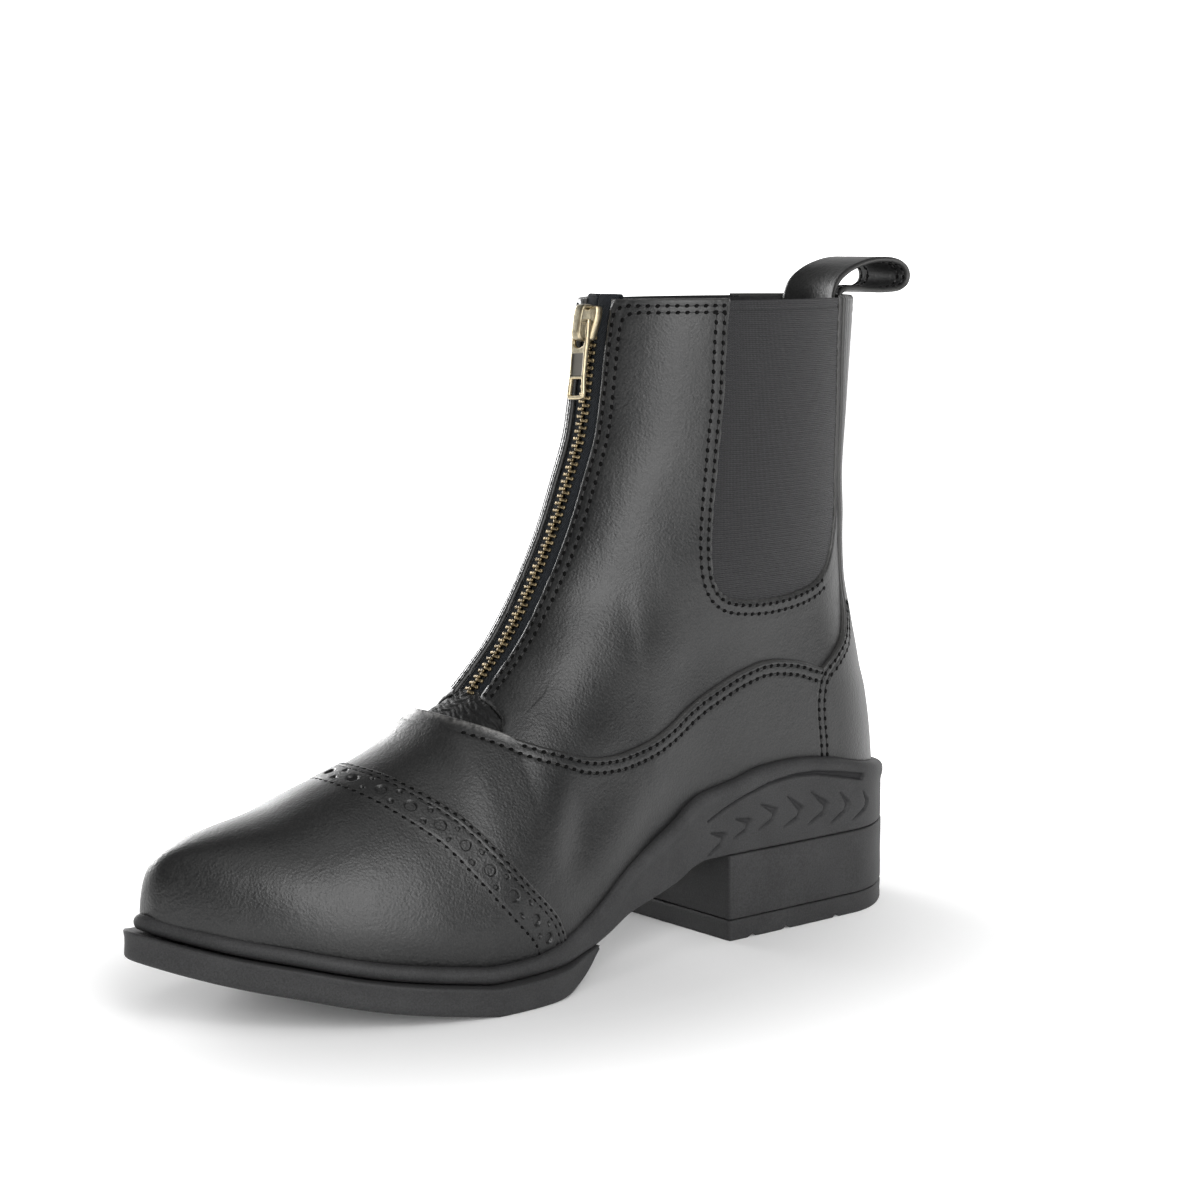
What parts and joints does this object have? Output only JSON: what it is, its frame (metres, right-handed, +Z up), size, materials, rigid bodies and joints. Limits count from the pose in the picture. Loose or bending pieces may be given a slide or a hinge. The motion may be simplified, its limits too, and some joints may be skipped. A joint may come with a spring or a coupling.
{
  "type": "paddock boot",
  "caption": "Left ankle-high leather riding boot with a front zip, elastic side gores, a toe cap, a back pull loop and a low rubber heel.",
  "frame": {"origin": "middle of the heel's tread, on the floor that the boot stands on", "axes": "+X from heel to toe, +Y to the wearer's left, which is the outer side, +Z up"},
  "size_m": [0.2939, 0.0965, 0.2158],
  "materials": {
    "leather": "smooth semi-matt, fine grain",
    "panel_leather": "smooth semi-matt, fine grain",
    "strap_leather": "satin",
    "lining": "matt",
    "elastic": "fine ribs",
    "zip_cloth": "woven",
    "brass": "antique",
    "slider_metal": "antique",
    "rubber": "matt",
    "tread_rubber": "matt"
  },
  "bodies": {
    "boot": {"upper": "leather", "toe_cap": "panel_leather", "vamp": "panel_leather", "heel_counter": "panel_leather", "pull_loop": "strap_leather", "insole": "lining", "gore_outer": "elastic", "gore_inner": "elastic", "zip_tape_left": "zip_cloth", "zip_tape_right": "zip_cloth", "zip_chain": "brass", "zip_slider": "slider_metal", "sole_unit": "rubber", "heel_block": "rubber", "outsole_plate": "tread_rubber", "top_lift": "tread_rubber"},
    "puller": {"zip_puller": "slider_metal"}
  },
  "joints": [
    {"name": "puller_swing", "type": "hinge", "parent": "boot", "child": "puller", "pos_m": [0.0722, 0.00003, 0.19676], "axis": [0, -1, 0], "range_deg": [0, 150]}
  ]
}
